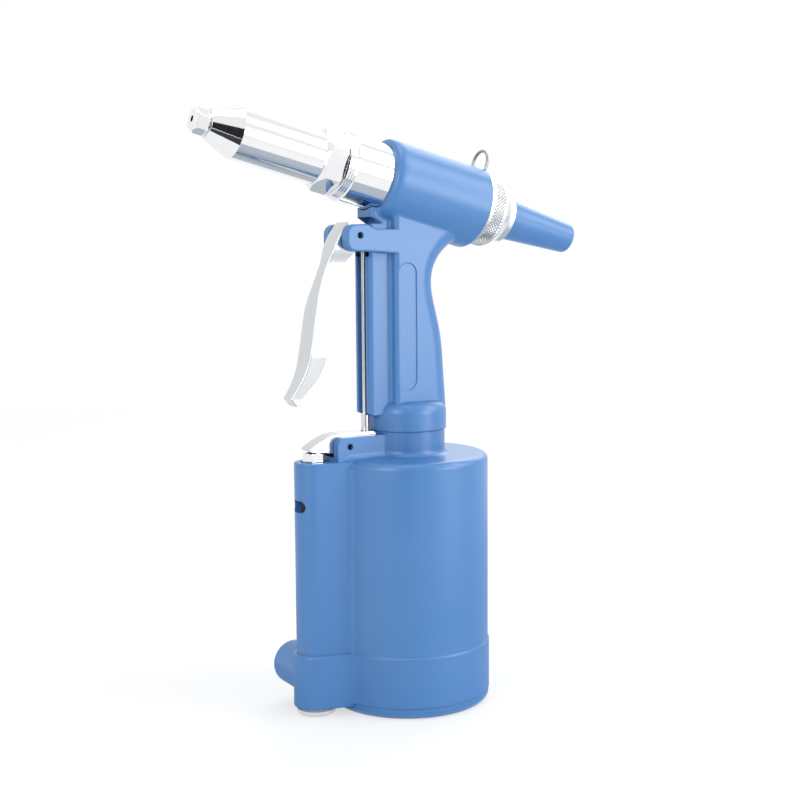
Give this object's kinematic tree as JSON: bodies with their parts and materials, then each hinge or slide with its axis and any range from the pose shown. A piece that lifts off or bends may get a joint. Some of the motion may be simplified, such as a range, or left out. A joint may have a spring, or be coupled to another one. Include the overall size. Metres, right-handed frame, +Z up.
{
  "type": "pneumatic riveter",
  "caption": "Hand-held air-hydraulic blind riveter: upright air cylinder, grip with lever trigger and pull rod, tilted barrel with jaws, and mandrel catcher.",
  "frame": {"origin": "centre of the flat base of the air cylinder", "axes": "+X towards the nose, +Y to the left of the user who holds the grip, +Z up along the air cylinder"},
  "size_m": [0.2201, 0.0854, 0.3029],
  "materials": {
    "blue_enamel": "aluminium castings with a semi-gloss mid-blue baked enamel",
    "polished_steel": "bright nickel-chrome plate",
    "bright_steel": "bright zinc or ground steel",
    "turned_aluminium": "turned, with a knurled grip band",
    "hardened_steel": "hardened, blackened",
    "spring_steel": "oil-tempered wire",
    "bronze": "turned bronze",
    "seal_rubber": "black nitrile"
  },
  "bodies": {
    "frame": {"handle_casting": "blue_enamel", "air_cylinder": "blue_enamel", "base_cap": "blue_enamel", "base_cap_ring": "seal_rubber", "neck_ring_nut": "bright_steel", "gland_bush": "bronze", "gland_seal": "seal_rubber", "oil_screw": "bright_steel", "oil_screw_washer": "bronze", "head_cylinder": "polished_steel", "head_rings": "seal_rubber", "front_seal": "seal_rubber", "guide_bush": "bronze", "nose_sleeve": "polished_steel", "lock_nut": "polished_steel", "nosepiece": "polished_steel", "rear_cap": "turned_aluminium", "trigger_pin": "bright_steel", "lever_pin": "bright_steel", "valve_sleeve": "bronze", "valve_plug": "turned_aluminium", "exhaust_silencer": "bronze", "inlet_bush": "bright_steel", "return_spring": "spring_steel", "valve_spring": "spring_steel"},
    "air_piston": {"air_piston": "turned_aluminium", "air_piston_seal": "seal_rubber", "piston_rod": "bright_steel", "piston_nut": "bright_steel", "piston_washer": "bright_steel"},
    "draw_rod": {"draw_rod": "bright_steel", "draw_rod_seal": "seal_rubber", "jaw_case": "hardened_steel", "jaw_spring": "spring_steel"},
    "jaw_pusher": {"jaw_pusher": "hardened_steel"},
    "jaw_1": {"jaw_1": "hardened_steel"},
    "jaw_2": {"jaw_2": "hardened_steel"},
    "jaw_3": {"jaw_3": "hardened_steel"},
    "hanger": {"hanger": "bright_steel"},
    "catcher": {"mandrel_catcher": "blue_enamel", "catcher_ring": "seal_rubber"},
    "trigger": {"trigger": "polished_steel", "link_pin": "bright_steel"},
    "pull_rod": {"pull_rod": "bright_steel", "pull_rod_nut": "bright_steel"},
    "lever": {"valve_lever": "polished_steel"},
    "valve": {"valve_button": "polished_steel", "valve_stem": "bright_steel", "stem_rings": "seal_rubber"}
  },
  "joints": [
    {"name": "trigger_turn", "type": "hinge", "parent": "frame", "child": "trigger", "pos_m": [0.0333, 0, 0.24142], "axis": [0, 1, 0], "range_deg": [0, 18], "stiffness_Nm_per_rad": 0.6, "springref_deg": -6.88},
    {"name": "pull_rod_lift", "type": "slide", "parent": "frame", "child": "pull_rod", "axis": [0, 0, 1], "range_m": [0, 0.00272]},
    {"name": "lever_rock", "type": "hinge", "parent": "frame", "child": "lever", "pos_m": [0.0384, 0, 0.1364], "axis": [0, 1, 0], "range_deg": [0, 11.28]},
    {"name": "valve_push", "type": "slide", "parent": "frame", "child": "valve", "axis": [0, 0, -1], "range_m": [0, 0.0031], "deforming": ["valve_spring"]},
    {"name": "piston_rise", "type": "slide", "parent": "frame", "child": "air_piston", "axis": [0, 0, 1], "range_m": [0, 0.094]},
    {"name": "draw_rod_pull", "type": "slide", "parent": "frame", "child": "draw_rod", "axis": [-0.9681, 0, -0.2504], "range_m": [0, 0.016], "stiffness_N_per_m": 2500, "springref_m": -0.004, "deforming": ["return_spring"]},
    {"name": "pusher_slide", "type": "slide", "parent": "draw_rod", "child": "jaw_pusher", "axis": [0.9681, 0, 0.2504], "range_m": [0, 0.0018], "deforming": ["jaw_spring"]},
    {"name": "jaw_1_close", "type": "slide", "parent": "draw_rod", "child": "jaw_1", "axis": [1, 0, 0.0038], "range_m": [0, 0.00186]},
    {"name": "jaw_2_close", "type": "slide", "parent": "draw_rod", "child": "jaw_2", "axis": [0.9073, 0.2136, 0.3621], "range_m": [0, 0.00186]},
    {"name": "jaw_3_close", "type": "slide", "parent": "draw_rod", "child": "jaw_3", "axis": [0.9073, -0.2136, 0.3621], "range_m": [0, 0.00186]},
    {"name": "hanger_swivel", "type": "hinge", "parent": "frame", "child": "hanger", "pos_m": [-0.03979, 0, 0.25563], "axis": [0.9681, 0, 0.2504], "range_deg": [-60, 60]},
    {"name": "catcher_pull", "type": "slide", "parent": "frame", "child": "catcher", "axis": [-0.9681, 0, -0.2504], "range_m": [0, 0.012]}
  ],
  "couplings": [
    {"joint": "pull_rod_lift", "follows": "trigger_turn", "m_per_rad": 0.0086559},
    {"joint": "lever_rock", "follows": "trigger_turn", "ratio": 0.62677},
    {"joint": "valve_push", "follows": "trigger_turn", "m_per_rad": 0.0098675},
    {"joint": "draw_rod_pull", "follows": "piston_rise", "ratio": 0.17021},
    {"joint": "pusher_slide", "follows": "piston_rise", "ratio": 0.019149},
    {"joint": "jaw_1_close", "follows": "piston_rise", "ratio": 0.019759},
    {"joint": "jaw_2_close", "follows": "piston_rise", "ratio": 0.019759},
    {"joint": "jaw_3_close", "follows": "piston_rise", "ratio": 0.019759}
  ]
}
